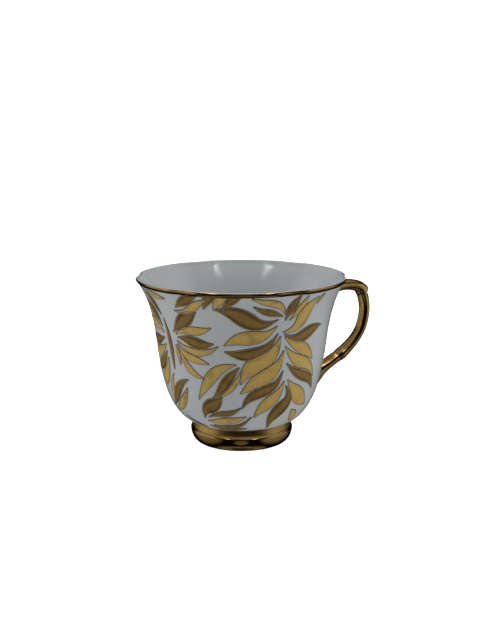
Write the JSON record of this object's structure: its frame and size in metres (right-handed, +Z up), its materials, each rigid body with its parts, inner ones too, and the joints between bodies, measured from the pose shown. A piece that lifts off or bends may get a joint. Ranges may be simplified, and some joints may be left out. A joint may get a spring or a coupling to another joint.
{
  "type": "teacup",
  "caption": "Bone china teacup with a lobed flaring lip, a gilded scroll handle, a gilded foot ring and sprays of gold leaves all round the bowl.",
  "frame": {"origin": "centre of the ring face the foot stands on, on the bowl's axis, at table height", "axes": "+Z up along the bowl's axis, +X from the axis towards the handle, +Y to the left of someone looking along +X"},
  "size_m": [0.1099, 0.0882, 0.072],
  "materials": {
    "porcelain": "gloss",
    "slip": "satin",
    "burnished_gold": "polished",
    "bright_leaf_gold": "satin",
    "dark_leaf_gold": "satin"
  },
  "bodies": {
    "root": {"bowl": "porcelain", "foot_ring": "porcelain", "foot_slip": "slip", "handle": "porcelain", "upper_handle_slip": "slip", "lower_handle_slip": "slip", "rim_gilding": "burnished_gold", "foot_gilding": "burnished_gold", "handle_gilding": "burnished_gold", "branch_bright_leaves": "bright_leaf_gold", "branch_dark_leaves": "dark_leaf_gold", "fan_bright_leaves": "bright_leaf_gold", "fan_dark_leaves": "dark_leaf_gold", "pair_bright_leaves": "bright_leaf_gold", "pair_dark_leaves": "dark_leaf_gold", "sprig_bright_leaves": "bright_leaf_gold", "sprig_dark_leaves": "dark_leaf_gold", "lip_bright_leaves": "bright_leaf_gold", "lip_dark_leaves": "dark_leaf_gold", "side_bright_leaves": "bright_leaf_gold", "side_dark_leaves": "dark_leaf_gold", "low_bright_leaves": "bright_leaf_gold", "low_dark_leaves": "dark_leaf_gold", "back_branch_bright_leaves": "bright_leaf_gold", "back_branch_dark_leaves": "dark_leaf_gold", "back_fan_bright_leaves": "bright_leaf_gold", "back_fan_dark_leaves": "dark_leaf_gold", "back_pair_bright_leaves": "bright_leaf_gold", "back_pair_dark_leaves": "dark_leaf_gold", "back_sprig_bright_leaves": "bright_leaf_gold", "back_sprig_dark_leaves": "dark_leaf_gold", "back_lip_bright_leaves": "bright_leaf_gold", "back_lip_dark_leaves": "dark_leaf_gold", "cheek_bright_leaves": "bright_leaf_gold", "cheek_dark_leaves": "dark_leaf_gold", "end_pair_bright_leaves": "bright_leaf_gold", "end_pair_dark_leaves": "dark_leaf_gold"}
  },
  "joints": []
}
